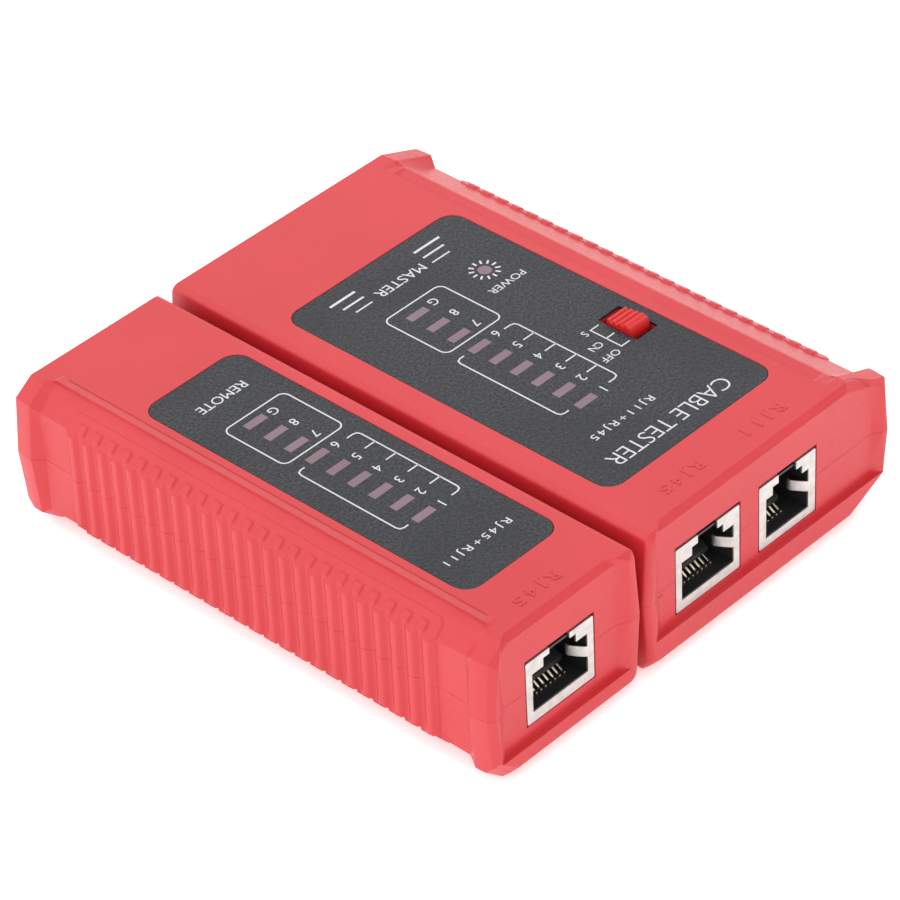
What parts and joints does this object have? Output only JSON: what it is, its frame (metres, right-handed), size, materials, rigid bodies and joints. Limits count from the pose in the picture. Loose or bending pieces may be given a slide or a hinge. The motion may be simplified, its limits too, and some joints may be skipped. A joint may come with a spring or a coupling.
{
  "type": "network cable tester",
  "caption": "Two-piece network and telephone cable tester: a master unit and a detachable remote unit, each with jacks and a row of indicator lights on a dark label.",
  "frame": {"origin": "under the middle of the docked pair, on the surface that it rests on", "axes": "+X from the remote unit to the master unit, -Y out of the jacks, +Z out of the labels"},
  "size_m": [0.0926, 0.101, 0.0278],
  "materials": {
    "housing_red": "fine matt moulded, satin red",
    "knob_red": "smooth satin red",
    "label_film": "pebbled dark grey film with white print",
    "board_laminate": "green solder mask",
    "shield_metal": "tinned sheet, satin",
    "screw_steel": "zinc plated",
    "jack_plastic": "black moulded",
    "contact_gold": "gilt spring wire",
    "led_lens": "diffusing lens",
    "battery_case": "printed metal jacket, plain",
    "lead_red": "insulated wire",
    "lead_black": "insulated wire"
  },
  "bodies": {
    "master_unit": {"master_upper_shell": "housing_red", "master_lower_shell": "housing_red", "master_label": "label_film", "master_board": "board_laminate", "master_rj45_shield": "shield_metal", "master_rj45_insert": "jack_plastic", "master_rj45_contacts": "contact_gold", "master_rj11_shield": "shield_metal", "master_rj11_insert": "jack_plastic", "master_rj11_contacts": "contact_gold", "power_switch_body": "shield_metal", "power_led": "led_lens", "master_led_1": "led_lens", "master_led_2": "led_lens", "master_led_3": "led_lens", "master_led_4": "led_lens", "master_led_5": "led_lens", "master_led_6": "led_lens", "master_led_7": "led_lens", "master_led_8": "led_lens", "master_led_ground": "led_lens", "counter_chip": "jack_plastic", "timer_chip": "jack_plastic", "battery_9v": "battery_case", "battery_clip": "jack_plastic", "battery_lead_positive": "lead_red", "battery_lead_negative": "lead_black", "master_screw_front_inner": "screw_steel", "master_screw_front_outer": "screw_steel", "master_screw_back_inner": "screw_steel", "master_screw_back_outer": "screw_steel"},
    "remote_unit": {"remote_upper_shell": "housing_red", "remote_lower_shell": "housing_red", "remote_label": "label_film", "remote_board": "board_laminate", "remote_rj45_shield": "shield_metal", "remote_rj45_insert": "jack_plastic", "remote_rj45_contacts": "contact_gold", "remote_led_1": "led_lens", "remote_led_2": "led_lens", "remote_led_3": "led_lens", "remote_led_4": "led_lens", "remote_led_5": "led_lens", "remote_led_6": "led_lens", "remote_led_7": "led_lens", "remote_led_8": "led_lens", "remote_led_ground": "led_lens", "remote_screw_front": "screw_steel", "remote_screw_back": "screw_steel"},
    "switch_knob": {"power_switch_knob": "knob_red"},
    "battery_cover": {"battery_door": "housing_red"}
  },
  "joints": [
    {"name": "remote_slide", "type": "slide", "parent": "master_unit", "child": "remote_unit", "axis": [0, 1, 0], "range_m": [0, 0.08]},
    {"name": "switch_slide", "type": "slide", "parent": "master_unit", "child": "switch_knob", "axis": [0, 1, 0], "range_m": [-0.0012, 0.0012]},
    {"name": "battery_cover_slide", "type": "slide", "parent": "master_unit", "child": "battery_cover", "axis": [0, 1, 0], "range_m": [0, 0.05]}
  ]
}
